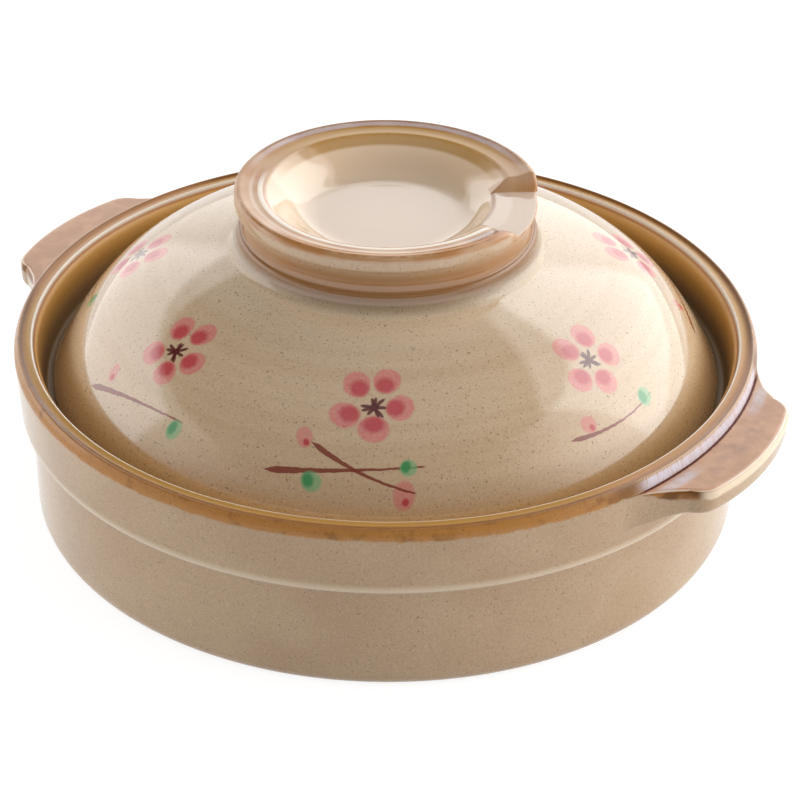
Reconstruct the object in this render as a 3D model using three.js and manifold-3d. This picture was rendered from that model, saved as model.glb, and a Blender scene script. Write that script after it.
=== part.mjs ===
// A low lidded clay pot for soups and stews. The thrown body carries two lug handles luted to the
// band below its rim, and the domed lid rests on a ledge inside the rim and carries a ring knob.
// Millimetres, +Z up. The origin is on the table, on the pot's axis, and the lugs lie along X.
import * as THREE from "three";
import { mergeVertices } from "three/addons/utils/BufferGeometryUtils.js";
import Module from "manifold-3d";

// Pot body
const POT_HEIGHT = 53.5; // table to the rim's crest
const RIM_RADIUS = 108; // widest outside radius, just below the crest
const RIM_FALL = 2.4; // crest down to the widest line
const RIM_ROUND = 2; // rounding of the widest line
const CREST_INSET = 1.3; // widest line in to the crest
const VALLEY_INSET = 3.4; // widest line in to the valley along the rim's top
const VALLEY_FALL = 0.9; // crest down to that valley
const LIP_INSET = 5.3; // widest line in to the lip, the ridge inside the valley
const LIP_FALL = 0.4; // crest down to the lip
const GROOVE_INSET = 5.8; // widest line in to the groove below the lip
const GROOVE_FALL = 1.8; // crest down to that groove
const BEADING_INSET = 6.8; // widest line in to the beading below the groove
const BEADING_FALL = 3.1; // crest down to that beading
const RIDGE_ROUND = 0.7; // rounding of crest, valley, lip, groove and beading
const BAND_HEIGHT = 21.8; // top of the rim down to the step in the outside wall
const BAND_TAPER = 1; // widest line in to the foot of the band
const STEP_DEPTH = 3; // foot of the band in to the wall below it
const STEP_RISE = 1.2; // slope of the step's underside
const STEP_ROUND = 1.5; // rounding of the step's two corners
const WALL_THICKNESS = 8.5; // wall below the band
const BASE_ROUND = 4; // rounding of the base's outer edge
const FOOT_WIDTH = 13; // wall in to the inner edge of the flat ring that the pot stands on
const FOOT_RECESS = 1.2; // hollow of the base inside that ring
const FLOOR_THICKNESS = 7; // hollow of the base up to the cooking floor
const FLOOR_ROUND = 16; // rounding between the cooking floor and the wall

// Ledge inside the rim
const SEAT_DEPTH = 15; // top of the rim down to the ledge
const SEAT_INSET = 8.4; // widest line in to the corner where the ledge starts
const SEAT_ROUND = 1.5; // rounding of that corner and of the ledge's nose
const LEDGE_WIDTH = 7.1; // that corner in to the ledge's nose
const LEDGE_THICKNESS = 4; // ledge down to the underside of its nose
const LEDGE_BACKING = 6; // height of the slope that carries the nose

// Lug handles
const LUG_REACH = 13.8; // widest line of the rim out to the lug's outer edge
const LUG_FALL = 3.5; // top of the rim down to the lug's flat top
const LUG_THICKNESS = 7.6; // at the outer edge
const LUG_ROOT = 12; // height of the lug where it meets the band
const LUG_EDGE_ROUND = 2; // rounding of the outer edge's corners and of the top's flanks
const LUG_SHELF = 7; // length of the lug's underside before it curves down into its root
const LUG_UNDERCUT = 0.8; // rise of that underside towards the band
const LUG_SPREAD = 13; // half the angle of the outer edge, degrees
const LUG_ROOT_SPREAD = 21; // half the angle of the root, degrees
const LUG_CORNER = 5; // rounding of the outer corners, seen from above
const LUG_SWEEP = 0.2; // how far the flanks hug the rim before they turn out

// Lid
const LID_CLEARANCE = 2.3; // corner of the ledge in to the lid's edge
const LID_RISE = 40; // lid's widest line up to the knob's seat
const LID_EDGE_HEIGHT = 1.2; // lid's foot up to its widest line
const LID_EDGE_WIDTH = 6.4; // width of the lid's foot
const LID_EDGE_ROUND = 1; // rounding of the foot's corners
const LID_EDGE_SLOPE = 62.6; // slope of the dome at its edge, degrees
const LID_TOP_SLOPE = 15.6; // slope of the dome at the knob, degrees
const LID_EDGE_PULL = 29.9; // how far the edge's slope carries into the dome
const LID_TOP_PULL = 28.6; // how far the knob's slope carries into the dome
const LID_THICKNESS = 7; // at the axis, below the knob
const LID_CEILING = 62; // how far the hollow's ceiling carries outwards before it falls
const STEAM_HOLE_RADIUS = 3.5;
const STEAM_HOLE_REACH = 15.3; // knob's foot out to the hole
const STEAM_HOLE_ANGLE = 90; // from +X, degrees

// Ring knob
const KNOB_RADIUS = 43; // bead at the top of the ring
const KNOB_HEIGHT = 17.3; // seat up to the top of the ring
const KNOB_FOOT_FLARE = 1.6; // bead out to the foot, where the ring meets the dome
const KNOB_FOOT_HEIGHT = 1.5; // height of the fillet at the foot
const COLLAR_FLARE = 0.5; // bead out to the collar above the fillet
const COLLAR_HEIGHT = 5.1; // seat up to the crease above the collar
const COLLAR_INSET = 1.7; // bead in to that crease
const NECK_INSET = 2.4; // bead in to the line that the neck is drawn towards
const BEAD_HEIGHT = 5; // bead's lower edge up to the top of the ring
const BEAD_ROUND = 0.8; // rounding of the bead's edges
const RING_WIDTH = 8.4; // bead in to the dish
const RING_FALL = 1.3; // how far the ring's top falls towards the dish
const DISH_FLOOR = 4.8; // seat up to the middle of the dish
const DISH_SLOPE = 36; // slope of the dish at its edge, degrees
const DISH_EDGE_PULL = 12.5; // how far that slope carries into the dish
const DISH_LEVEL = 12.4; // how far the dish's floor carries outwards before it climbs
const NOTCH_ANGLE = 20; // from +X, degrees
const NOTCH_WIDTH = 25.5; // floor of the drain notch
const NOTCH_DEPTH = 4.6;
const NOTCH_NOSE = 8; // rounding of the ring's end on the side towards +X
const NOTCH_ROUND = 4; // rounding of the ring's other end

// Fits and facets
const JOINT_GAP = 0.3; // slip layer between luted pieces, and play under the lid
const TURN_STEPS = 60; // facets round the axis
const KNOB_TURN_STEPS = 48; // facets round the knob
const LUG_TURN_STEPS = 120; // facets round the axis where a lug is cut from a ring
const FACET_TURN = 32; // most that a section turns from one facet to the next, degrees
const FACET_LENGTH = 8; // longest facet along a curve
const CORNER_STEPS = 3; // facets round a small corner
const HOLE_STEPS = 16; // facets round the steam hole
const OVERCUT = 5; // how far a cutter runs past what it cuts
const TRIM_MARGIN = 0.3; // how far the lug's plan stands outside the ring that it trims

// Sizes that follow from those above
const wallRadius = RIM_RADIUS - BAND_TAPER - STEP_DEPTH;
const bandRadius = RIM_RADIUS - BAND_TAPER;
const innerRadius = wallRadius - WALL_THICKNESS;
const footRadius = wallRadius - FOOT_WIDTH;
const stepHeight = POT_HEIGHT - BAND_HEIGHT;
const floorHeight = FOOT_RECESS + FLOOR_THICKNESS;
const seatHeight = POT_HEIGHT - SEAT_DEPTH;
const seatRadius = RIM_RADIUS - SEAT_INSET;
const ledgeRadius = seatRadius - LEDGE_WIDTH;
const lugTop = POT_HEIGHT - LUG_FALL;
const lugRadius = RIM_RADIUS + LUG_REACH;
const lidRadius = seatRadius - LID_CLEARANCE;
const lidFoot = seatHeight + JOINT_GAP;
const lidEdge = lidFoot + LID_EDGE_HEIGHT;
const lidTop = lidEdge + LID_RISE;
const knobSeat = lidTop + JOINT_GAP;
const knobTop = knobSeat + KNOB_HEIGHT;
const knobFootRadius = KNOB_RADIUS + KNOB_FOOT_FLARE;
const dishRadius = KNOB_RADIUS - RING_WIDTH;

// Fired clay under its glazes
const clay = new THREE.MeshStandardMaterial({ color: 0xb89f84, roughness: 0.6, metalness: 0 });
const lugGlaze = new THREE.MeshStandardMaterial({ color: 0xcda582, roughness: 0.3, metalness: 0 });
const lidGlaze = new THREE.MeshStandardMaterial({ color: 0xbcaa90, roughness: 0.2, metalness: 0 });
const knobGlaze = new THREE.MeshStandardMaterial({ color: 0xd8b997, roughness: 0.2, metalness: 0 });

const wasm = await Module();
wasm.setup();

// A closed geometry as a solid that can be cut and joined.
function solidOf(geometry) {
  const bare = geometry.clone();
  bare.deleteAttribute("normal");
  bare.deleteAttribute("uv");
  const merged = mergeVertices(bare);
  const mesh = new wasm.Mesh({
    numProp: 3,
    vertProperties: merged.getAttribute("position").array,
    triVerts: new Uint32Array(merged.index.array),
  });
  return new wasm.Manifold(mesh);
}

// A solid's surface, as a geometry with flat-shaded facets.
function geometryOf(solid) {
  const { vertProperties, triVerts } = solid.getMesh();
  const geometry = new THREE.BufferGeometry();
  geometry.setAttribute("position", new THREE.BufferAttribute(vertProperties, 3));
  geometry.setIndex(new THREE.BufferAttribute(triVerts, 1));
  const faceted = geometry.toNonIndexed();
  faceted.computeVertexNormals();
  return faceted;
}

// A point at a radius and an angle in degrees, seen from above.
function polar(radius, degrees) {
  const angle = THREE.MathUtils.degToRad(degrees);
  return new THREE.Vector2(radius * Math.cos(angle), radius * Math.sin(angle));
}

// A step of some length in the plane of a section, up a slope in degrees towards the axis.
function upSlope(length, degrees) {
  return polar(length, 180 - degrees);
}

// Adds corners [x, y, rounding] to a path. A corner's rounding is the length that it takes off each
// side, and is limited by the sides.
function addCorners(path, corners) {
  corners.forEach(([x, y, rounding = 0], index) => {
    const after = corners[index + 1];
    if (!rounding || !after) {
      path.lineTo(x, y);
      return;
    }
    const corner = new THREE.Vector2(x, y);
    const before = path.currentPoint.clone().sub(corner);
    const ahead = new THREE.Vector2(after[0], after[1]).sub(corner);
    const room = after[2] ? ahead.length() / 2 : ahead.length();
    const reach = Math.min(rounding, before.length(), room);
    const start = before.setLength(reach).add(corner);
    const end = ahead.setLength(reach).add(corner);
    path.lineTo(start.x, start.y);
    path.quadraticCurveTo(x, y, end.x, end.y);
  });
}

// How many facets a curve of a section needs.
function facetCount(curve) {
  if (curve.isLineCurve) return 1;
  const turn = curve.getTangent(0).angleTo(curve.getTangent(1));
  const byTurn = THREE.MathUtils.radToDeg(turn) / FACET_TURN;
  const byLength = curve.getLength() / FACET_LENGTH;
  return Math.ceil(Math.max(byTurn, byLength));
}

// A section (radius, height) turned about the pot's axis.
function turned(section, steps = TURN_STEPS) {
  const starts = section.curves.flatMap((curve) => curve.getPoints(facetCount(curve)).slice(0, -1));
  const points = [...starts, section.currentPoint];
  return new THREE.LatheGeometry(points, steps).rotateX(Math.PI / 2);
}

// The outside of the rim band, from the step up to the rim's widest line.
function bandOutside(offset) {
  return [
    [bandRadius + offset, stepHeight + STEP_RISE],
    [RIM_RADIUS + offset, POT_HEIGHT - RIM_FALL],
  ];
}

function potSection() {
  const path = new THREE.Path();
  const [bandFoot, rimSide] = bandOutside(0);
  path.moveTo(0, FOOT_RECESS);
  addCorners(path, [
    [footRadius, FOOT_RECESS],
    [footRadius + FOOT_RECESS, 0],
    [wallRadius, 0, BASE_ROUND],
    [wallRadius, stepHeight, STEP_ROUND],
    [...bandFoot, STEP_ROUND],
    [...rimSide, RIM_ROUND],
    [RIM_RADIUS - CREST_INSET, POT_HEIGHT, RIDGE_ROUND],
    [RIM_RADIUS - VALLEY_INSET, POT_HEIGHT - VALLEY_FALL, RIDGE_ROUND],
    [RIM_RADIUS - LIP_INSET, POT_HEIGHT - LIP_FALL, RIDGE_ROUND],
    [RIM_RADIUS - GROOVE_INSET, POT_HEIGHT - GROOVE_FALL, RIDGE_ROUND],
    [RIM_RADIUS - BEADING_INSET, POT_HEIGHT - BEADING_FALL, RIDGE_ROUND],
    [seatRadius, seatHeight, SEAT_ROUND],
    [ledgeRadius, seatHeight, SEAT_ROUND],
    [ledgeRadius, seatHeight - LEDGE_THICKNESS, SEAT_ROUND],
    [innerRadius, seatHeight - LEDGE_THICKNESS - LEDGE_BACKING, SEAT_ROUND],
    [innerRadius, floorHeight, FLOOR_ROUND],
    [0, floorHeight],
  ]);
  return path;
}

// A lug's section: a flat top, a rounded outer edge, and an underside that curves into its root.
function lugSection() {
  const [bandFoot, rimSide] = bandOutside(JOINT_GAP);
  const bandSlope = (rimSide[0] - bandFoot[0]) / (rimSide[1] - bandFoot[1]);
  const bandAt = (height) => bandFoot[0] + bandSlope * (height - bandFoot[1]);
  const underside = lugTop - LUG_THICKNESS;
  const rootFoot = lugTop - LUG_ROOT;
  const shelfEnd = lugRadius - LUG_SHELF;
  const path = new THREE.Path();
  path.moveTo(bandAt(rootFoot), rootFoot);
  path.quadraticCurveTo(bandAt(underside), underside + LUG_UNDERCUT, shelfEnd, underside + LUG_UNDERCUT);
  addCorners(path, [
    [lugRadius, underside, LUG_EDGE_ROUND],
    [lugRadius, lugTop, LUG_EDGE_ROUND],
    [bandAt(lugTop), lugTop],
    [bandAt(rootFoot), rootFoot],
  ]);
  return path;
}

// A lug's plan: an arc outside, rounded corners, and flanks that sweep in to the rim.
function lugPlan() {
  const outside = lugRadius + TRIM_MARGIN;
  const cornerTurn = THREE.MathUtils.radToDeg(LUG_CORNER / outside);
  const hugTurn = THREE.MathUtils.lerp(LUG_ROOT_SPREAD, LUG_SPREAD, LUG_SWEEP);
  const foot = polar(bandRadius - OVERCUT, LUG_ROOT_SPREAD);
  const root = polar(RIM_RADIUS, LUG_ROOT_SPREAD);
  const hug = polar(RIM_RADIUS, hugTurn);
  const flank = polar(outside - LUG_CORNER, LUG_SPREAD);
  const corner = polar(outside, LUG_SPREAD);
  const arcEnd = THREE.MathUtils.degToRad(LUG_SPREAD - cornerTurn);
  const shape = new THREE.Shape();
  shape.moveTo(foot.x, -foot.y);
  shape.lineTo(root.x, -root.y);
  shape.quadraticCurveTo(hug.x, -hug.y, flank.x, -flank.y);
  shape.quadraticCurveTo(corner.x, -corner.y, outside * Math.cos(arcEnd), -outside * Math.sin(arcEnd));
  shape.absarc(0, 0, outside, -arcEnd, arcEnd, false);
  shape.quadraticCurveTo(corner.x, corner.y, flank.x, flank.y);
  shape.quadraticCurveTo(hug.x, hug.y, root.x, root.y);
  shape.lineTo(foot.x, foot.y);
  return shape;
}

// A lug: a ring of its section, cut to its plan with the top's flanks rounded over.
function lugGeometry() {
  const plan = new THREE.ExtrudeGeometry(lugPlan(), {
    depth: LUG_ROOT,
    bevelSize: LUG_EDGE_ROUND,
    bevelOffset: -LUG_EDGE_ROUND,
    bevelThickness: LUG_EDGE_ROUND,
    bevelSegments: CORNER_STEPS,
    curveSegments: CORNER_STEPS * 2,
  });
  plan.translate(0, 0, lugTop - LUG_ROOT - LUG_EDGE_ROUND);
  const ring = turned(lugSection(), LUG_TURN_STEPS);
  return geometryOf(solidOf(ring).intersect(solidOf(plan)));
}

// The lid's dome: one sweep from its edge to the knob's seat, and another for the hollow inside.
function lidSection() {
  const edge = new THREE.Vector2(lidRadius, lidEdge);
  const top = new THREE.Vector2(knobFootRadius, lidTop);
  const footInside = new THREE.Vector2(lidRadius - LID_EDGE_WIDTH, lidFoot + LID_EDGE_ROUND);
  const edgePull = edge.clone().add(upSlope(LID_EDGE_PULL, LID_EDGE_SLOPE));
  const topPull = top.clone().sub(upSlope(LID_TOP_PULL, LID_TOP_SLOPE));
  const hollowPull = footInside.clone().add(upSlope(LID_EDGE_PULL, LID_EDGE_SLOPE));
  const ceiling = lidTop - LID_THICKNESS;
  const path = new THREE.Path();
  path.moveTo(0, ceiling);
  path.bezierCurveTo(LID_CEILING, ceiling, hollowPull.x, hollowPull.y, footInside.x, footInside.y);
  addCorners(path, [
    [footInside.x, lidFoot, LID_EDGE_ROUND],
    [lidRadius, lidFoot, LID_EDGE_ROUND],
    [edge.x, edge.y],
  ]);
  path.bezierCurveTo(edgePull.x, edgePull.y, topPull.x, topPull.y, top.x, top.y);
  path.lineTo(0, lidTop);
  return path;
}

// The lid, pierced upright by its steam hole.
function lidGeometry() {
  const length = knobTop - seatHeight;
  const hole = new THREE.CylinderGeometry(STEAM_HOLE_RADIUS, STEAM_HOLE_RADIUS, length, HOLE_STEPS);
  const place = polar(knobFootRadius + STEAM_HOLE_REACH, STEAM_HOLE_ANGLE);
  hole.rotateX(Math.PI / 2).translate(place.x, place.y, seatHeight + length / 2);
  return geometryOf(solidOf(turned(lidSection())).subtract(solidOf(hole)));
}

// The knob's section: a filleted foot, a collar, a drawn-in neck, a bead, a sloping ring and a dish.
function knobSection() {
  const fillet = new THREE.Vector2(KNOB_RADIUS + COLLAR_FLARE, knobSeat + KNOB_FOOT_HEIGHT);
  const crease = new THREE.Vector2(KNOB_RADIUS - COLLAR_INSET, knobSeat + COLLAR_HEIGHT);
  const neckRadius = KNOB_RADIUS - NECK_INSET;
  const beadFoot = new THREE.Vector2(KNOB_RADIUS - BEAD_ROUND, knobTop - BEAD_HEIGHT);
  const dishEdge = new THREE.Vector2(dishRadius, knobTop - RING_FALL);
  const dishPull = dishEdge.clone().add(upSlope(DISH_EDGE_PULL, -DISH_SLOPE));
  const dishFloor = knobSeat + DISH_FLOOR;
  const path = new THREE.Path();
  path.moveTo(0, knobSeat);
  path.lineTo(knobFootRadius, knobSeat);
  path.quadraticCurveTo(fillet.x, knobSeat, fillet.x, fillet.y);
  path.quadraticCurveTo(fillet.x, crease.y, crease.x, crease.y);
  path.bezierCurveTo(neckRadius, crease.y, neckRadius, beadFoot.y, beadFoot.x, beadFoot.y);
  addCorners(path, [
    [KNOB_RADIUS, beadFoot.y, BEAD_ROUND],
    [KNOB_RADIUS, knobTop, BEAD_ROUND],
    [dishEdge.x, dishEdge.y],
  ]);
  path.bezierCurveTo(dishPull.x, dishPull.y, DISH_LEVEL, dishFloor, 0, dishFloor);
  return path;
}

// The drain notch: a flat-floored gap through the ring from the dish, whose ends round over.
function notchGeometry() {
  const half = NOTCH_WIDTH / 2;
  const shape = new THREE.Shape();
  shape.moveTo(-half, -NOTCH_DEPTH);
  shape.lineTo(half, -NOTCH_DEPTH);
  shape.quadraticCurveTo(half, 0, half + NOTCH_ROUND, 0);
  shape.lineTo(half + NOTCH_ROUND, OVERCUT);
  shape.lineTo(-half - NOTCH_NOSE, OVERCUT);
  shape.lineTo(-half - NOTCH_NOSE, 0);
  shape.quadraticCurveTo(-half, 0, -half, -NOTCH_DEPTH);
  const notch = new THREE.ExtrudeGeometry(shape, {
    depth: KNOB_RADIUS + OVERCUT,
    bevelEnabled: false,
    curveSegments: CORNER_STEPS * 2,
  });
  notch.rotateX(Math.PI / 2).rotateZ(Math.PI / 2);
  notch.translate(0, 0, knobTop);
  return notch.rotateZ(THREE.MathUtils.degToRad(NOTCH_ANGLE));
}

function knobGeometry() {
  const ring = turned(knobSection(), KNOB_TURN_STEPS);
  return geometryOf(solidOf(ring).subtract(solidOf(notchGeometry())));
}

function addPiece(group, name, geometry, material) {
  const mesh = new THREE.Mesh(geometry, material);
  mesh.name = name;
  group.add(mesh);
  return mesh;
}

const pot = new THREE.Group();
addPiece(pot, "pot_body", turned(potSection()), clay);
const lug = lugGeometry();
addPiece(pot, "lug_handle_right", lug, lugGlaze);
addPiece(pot, "lug_handle_left", lug, lugGlaze).rotation.z = Math.PI;

const lid = new THREE.Group();
addPiece(lid, "lid_dome", lidGeometry(), lidGlaze);
addPiece(lid, "lid_knob", knobGeometry(), knobGlaze);

const soupPot = new THREE.Group();
soupPot.add(pot, lid);

export default soupPot;
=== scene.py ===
"""Low clay soup pot with a domed, painted lid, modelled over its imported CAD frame.

Lengths are in metres, and in millimetres inside shaders. +Z is up along the axis of pot and lid, and
+X goes out through a lug handle.
"""

import math
from collections import namedtuple

import bmesh
import bpy
from bpy.props import FloatProperty, FloatVectorProperty, PointerProperty
from mathutils import Matrix, Vector


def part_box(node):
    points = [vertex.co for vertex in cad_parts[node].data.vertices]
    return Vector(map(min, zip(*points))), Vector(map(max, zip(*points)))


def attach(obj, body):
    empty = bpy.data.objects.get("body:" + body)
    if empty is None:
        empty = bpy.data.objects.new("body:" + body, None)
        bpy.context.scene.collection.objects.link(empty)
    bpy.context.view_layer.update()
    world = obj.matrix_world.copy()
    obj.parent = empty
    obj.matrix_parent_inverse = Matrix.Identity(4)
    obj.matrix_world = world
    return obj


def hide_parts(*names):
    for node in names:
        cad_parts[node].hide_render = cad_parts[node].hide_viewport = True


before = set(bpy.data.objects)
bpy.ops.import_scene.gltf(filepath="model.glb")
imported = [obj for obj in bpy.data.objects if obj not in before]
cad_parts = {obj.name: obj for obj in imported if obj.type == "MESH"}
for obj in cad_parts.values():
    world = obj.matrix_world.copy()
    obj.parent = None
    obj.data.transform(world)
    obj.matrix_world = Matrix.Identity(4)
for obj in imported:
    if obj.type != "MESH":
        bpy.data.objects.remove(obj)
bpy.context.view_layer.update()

bl_info = {
    "name": "Ceramic soup pot",
    "version": (1, 0, 0),
    "blender": (4, 5, 0),
    "location": "View3D > Sidebar > Soup pot",
    "description": "Builds a clay soup pot with a painted, domed lid over its CAD frame",
    "category": "Add Mesh",
}

MM = 0.001

POT_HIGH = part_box("pot_body")[1]
LUG_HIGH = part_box("lug_handle_right")[1]
LID_LOW, LID_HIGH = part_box("lid_dome")
KNOB_LOW, KNOB_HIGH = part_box("lid_knob")

SECTIONS = 288
LONGEST_SIDE = 1.6 * MM
CURVE_STEPS = 7
MOST_ROUNDED = 0.48
MERGED = 1e-7


def linear(level):
    """The linear value of an sRGB level from 0 to 255."""
    share = level / 255
    if share <= 0.04045:
        return share / 12.92
    return ((share + 0.055) / 1.055) ** 2.4


def length(name, description, metres):
    """A size that the sidebar shows in the scene's units."""
    return FloatProperty(name=name, description=description, default=metres, unit="LENGTH", precision=4)


def angle(name, description, degrees):
    """An angle that the sidebar shows in degrees."""
    return FloatProperty(
        name=name, description=description, default=math.radians(degrees), subtype="ANGLE"
    )


def colour(name, description, red, green, blue):
    """A colour given by its sRGB levels."""
    return FloatVectorProperty(
        name=name,
        description=description,
        default=[linear(red), linear(green), linear(blue)],
        subtype="COLOR",
        min=0,
        max=1,
    )


class PotSizes(bpy.types.PropertyGroup):
    """Sizes of the pot's body."""

    rim_radius: length("Rim radius", "Outer radius of the band at the rim", POT_HIGH.y)
    height: length("Height", "Height of the rim's crest before it is rounded", POT_HIGH.z + 0.2 * MM)
    rim_fall: length("Rim fall", "From the crest down to the widest line", 2.4 * MM)
    crest_inset: length("Crest inset", "From the widest line in to the crest", 1.3 * MM)
    valley_inset: length("Valley inset", "From the widest line in to the rim's valley", 3.4 * MM)
    valley_fall: length("Valley fall", "From the crest down to the valley", 0.9 * MM)
    lip_inset: length("Lip inset", "From the widest line in to the lip", 5.3 * MM)
    lip_fall: length("Lip fall", "From the crest down to the lip", 0.35 * MM)
    groove_inset: length("Groove inset", "From the widest line in to the groove below the lip", 5.8 * MM)
    groove_fall: length("Groove fall", "From the crest down to the groove", 1.8 * MM)
    beading_inset: length("Beading inset", "From the widest line in to the beading", 6.8 * MM)
    beading_fall: length("Beading fall", "From the crest down to the beading", 3.1 * MM)
    band_height: length("Band height", "Height of the band below the crest", 21.8 * MM)
    band_taper: length("Band taper", "How far the band draws in towards its foot", 0.9 * MM)
    step_depth: length("Step depth", "How far the band stands out over the wall", 3.0 * MM)
    step_rise: length("Step rise", "Height of the slope under the band", 1.2 * MM)
    step_round: length("Step round", "Rounding of the step's corners", 1.5 * MM)
    wall_thickness: length("Wall thickness", "Thickness of the wall", 8.5 * MM)
    base_round: length("Base round", "Rounding at the base", 4.0 * MM)
    foot_width: length("Foot width", "From the wall in to the hollow under the base", 13.0 * MM)
    foot_recess: length("Foot recess", "Depth of the hollow under the base", 1.2 * MM)
    floor_thickness: length("Floor thickness", "Thickness of the floor", 7.0 * MM)
    floor_round: length("Floor round", "Rounding between floor and wall", 16.0 * MM)
    seat_height: length("Seat height", "Height of the ledge that carries the lid", 38.5 * MM)
    seat_radius: length("Seat radius", "Radius of the rim's inner wall at the ledge", 99.6 * MM)
    ledge_width: length("Ledge width", "Width of the ledge", 7.1 * MM)
    ledge_thickness: length("Ledge thickness", "Thickness of the ledge's edge", 4.0 * MM)
    ledge_backing: length("Ledge backing", "Height of the slope under the ledge", 6.0 * MM)


class LugSizes(bpy.types.PropertyGroup):
    """Sizes of the two lug handles."""

    reach: length("Reach", "How far a lug stands out from the band", LUG_HIGH.x - POT_HIGH.y)
    top: length("Top", "Height of a lug's top face", LUG_HIGH.z)
    thickness: length("Thickness", "Thickness of a lug at its outer edge", 7.6 * MM)
    root: length("Root", "Height of a lug where it meets the band", 11.6 * MM)
    undercut: length("Undercut", "How far the underside rises behind the edge", 0.8 * MM)
    shelf: length("Shelf", "Width of the flat part of the underside", 6.0 * MM)
    edge_round: length("Edge round", "Rounding of a lug's edges", 1.9 * MM)
    groove: length("Groove", "Width of the hollow between a lug's top and the rim", 2.2 * MM)
    corner: length("Corner", "Rounding of a lug's corners, seen from above", 4.0 * MM)
    crown: length("Crown", "How far the outer edge draws in towards its corners", 1.6 * MM)
    spread: angle("Spread", "Half angle of a lug's outer edge", 12.6)
    root_spread: angle("Root spread", "Half angle of a lug at the band", 22.6)


class LidSizes(bpy.types.PropertyGroup):
    """Sizes of the lid's dome."""

    radius: length("Radius", "Radius of the lid's edge", LID_HIGH.x)
    foot: length("Foot", "Height at which the lid stands on the ledge", LID_LOW.z)
    top: length("Top", "Height of the dome below the knob", LID_HIGH.z)
    edge_height: length("Edge height", "Height of the upright edge", 1.2 * MM)
    edge_width: length("Edge width", "Width of the face that stands on the ledge", 6.4 * MM)
    edge_round: length("Edge round", "Rounding of the lid's edge", 1.0 * MM)
    edge_slope: angle("Edge slope", "Slope of the dome at its edge", 62.6)
    top_slope: angle("Top slope", "Slope of the dome at the knob", 15.6)
    edge_pull: length("Edge pull", "How long the dome keeps its slope at the edge", 29.9 * MM)
    top_pull: length("Top pull", "How long the dome keeps its slope at the knob", 28.6 * MM)
    thickness: length("Thickness", "Thickness of the lid", 7.0 * MM)
    ceiling: length("Ceiling", "Half width of the flat part inside the lid", 62.0 * MM)
    hole_radius: length("Hole radius", "Radius of the steam hole", 3.5 * MM)
    hole_distance: length("Hole distance", "From the axis to the steam hole", 59.9 * MM)
    hole_bevel: length("Hole bevel", "Width of the bevel round the steam hole", 0.8 * MM)


class KnobSizes(bpy.types.PropertyGroup):
    """Sizes of the ring knob."""

    radius: length("Radius", "Outer radius of the bead", 43.4 * MM)
    seat: length("Seat", "Height at which the knob stands on the dome", KNOB_LOW.z)
    top: length("Top", "Height of the ring's top", KNOB_HIGH.z)
    foot_radius: length("Foot radius", "Radius at which the knob's foot meets the dome", 43.4 * MM)
    foot_spread: length("Foot spread", "How far the fillet runs out over the dome", 3.2 * MM)
    foot_height: length("Foot height", "Height of the fillet at the foot", 3.8 * MM)
    collar_draw: length("Collar draw", "How far the collar is drawn in from the bead", 0.6 * MM)
    collar_height: length("Collar height", "Height of the crease above the collar", 5.1 * MM)
    collar_inset: length("Collar inset", "From the bead in to the crease", 1.7 * MM)
    neck_inset: length("Neck inset", "From the bead in to the line that draws the neck in", 2.4 * MM)
    bead_height: length("Bead height", "Height of the bead", 5.0 * MM)
    bead_lip: length("Bead lip", "How far the bead stands out over the neck", 0.8 * MM)
    outer_round: length("Outer round", "Rounding of the ring's outer edge", 1.7 * MM)
    ring_width: length("Ring width", "From the bead in to the dish's edge", 8.7 * MM)
    ring_fall: length("Ring fall", "How far the ring's top falls towards the dish", 1.3 * MM)
    ring_hollow: length("Ring hollow", "Depth of the valley along the ring's top", 0.35 * MM)
    brink_round: length("Brink round", "Rounding of the dish's edge", 1.1 * MM)
    dish_floor: length("Dish floor", "Height of the dish's floor above the seat", 7.3 * MM)
    dish_slope: angle("Dish slope", "Slope of the dish above its floor", 42.0)
    dish_round: length("Dish round", "Rounding between the dish's floor and slope", 4.0 * MM)
    shoulder_width: length("Shoulder width", "Width of the gentler slope below the dish's edge", 4.6 * MM)
    shoulder_slope: angle("Shoulder slope", "Slope of the dish at its edge", 31.0)
    shoulder_round: length("Shoulder round", "Rounding between the dish's two slopes", 2.0 * MM)
    notch_depth: length("Notch depth", "Depth of the drain notch", 4.5 * MM)
    notch_tilt: length("Notch tilt", "How far the notch's floor falls outwards", 0.3 * MM)
    notch_start: angle("Notch start", "Turn at which the ring begins to fall", -13.0)
    floor_start: angle("Floor start", "Turn at which the notch's floor begins", 1.0)
    floor_end: angle("Floor end", "Turn at which the notch's floor ends", 39.0)
    notch_end: angle("Notch end", "Turn at which the ring is whole again", 44.5)


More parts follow.
